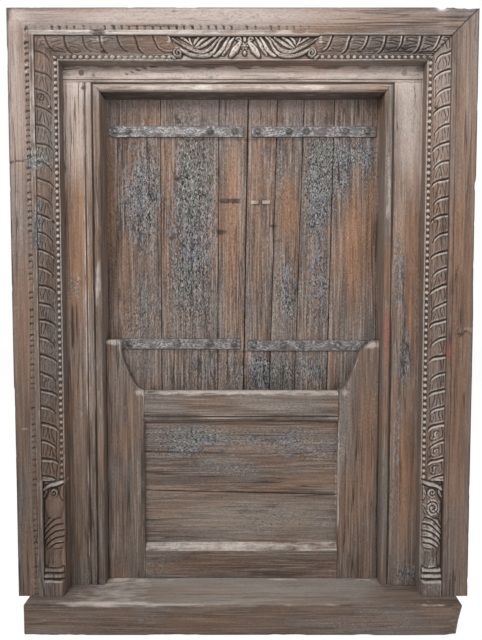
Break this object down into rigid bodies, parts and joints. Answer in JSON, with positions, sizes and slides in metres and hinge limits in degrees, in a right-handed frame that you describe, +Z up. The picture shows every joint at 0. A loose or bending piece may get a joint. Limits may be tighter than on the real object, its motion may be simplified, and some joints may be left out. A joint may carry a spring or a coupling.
{
  "type": "wooden window",
  "caption": "Carved wooden window: mitred casing with leaf and pearl carving, shaped guard panel, and plank leaves with iron straps that open inward on wooden pivots.",
  "frame": {"origin": "middle of the sill's underside, on the plane of the jambs' front faces", "axes": "+X to the right seen from the carved front, +Y into the wall, +Z up"},
  "size_m": [1, 0.189, 1.345],
  "materials": {
    "casing_wood": "weathered grey-brown carved hardwood",
    "frame_wood": "weathered grey-brown hardwood",
    "sill_wood": "dark weathered hardwood",
    "guard_wood": "worn brown hardwood",
    "leaf_wood": "worn planks with grey-blue paint remains",
    "forged_iron": "worn grey forged iron"
  },
  "bodies": {
    "frame": {"left_casing": "casing_wood", "top_casing": "casing_wood", "right_casing": "casing_wood", "left_jamb": "frame_wood", "right_jamb": "frame_wood", "head": "frame_wood", "joint_pegs": "frame_wood", "sill": "sill_wood", "casing_nails": "forged_iron", "guard_left_stile": "guard_wood", "guard_right_stile": "guard_wood", "guard_top_rail": "guard_wood", "guard_bottom_rail": "guard_wood", "guard_upper_board": "guard_wood", "guard_lower_board": "guard_wood"},
    "left_leaf": {"left_hanging_plank": "leaf_wood", "left_middle_plank": "leaf_wood", "left_meeting_plank": "leaf_wood", "left_upper_strap": "forged_iron", "left_middle_strap": "forged_iron", "left_lower_strap": "forged_iron", "left_leaf_nails": "forged_iron", "left_staple": "forged_iron"},
    "right_leaf": {"right_hanging_plank": "leaf_wood", "right_third_plank": "leaf_wood", "right_second_plank": "leaf_wood", "right_meeting_plank": "leaf_wood", "right_upper_strap": "forged_iron", "right_middle_strap": "forged_iron", "right_lower_strap": "forged_iron", "right_leaf_nails": "forged_iron", "right_staple": "forged_iron"}
  },
  "joints": [
    {"name": "left_leaf_hinge", "type": "hinge", "parent": "frame", "child": "left_leaf", "pos_m": [-0.319, 0.074, 0.6], "axis": [0, 0, 1], "range_deg": [0, 90]},
    {"name": "right_leaf_hinge", "type": "hinge", "parent": "frame", "child": "right_leaf", "pos_m": [0.319, 0.074, 0.6], "axis": [0, 0, -1], "range_deg": [0, 90]}
  ]
}
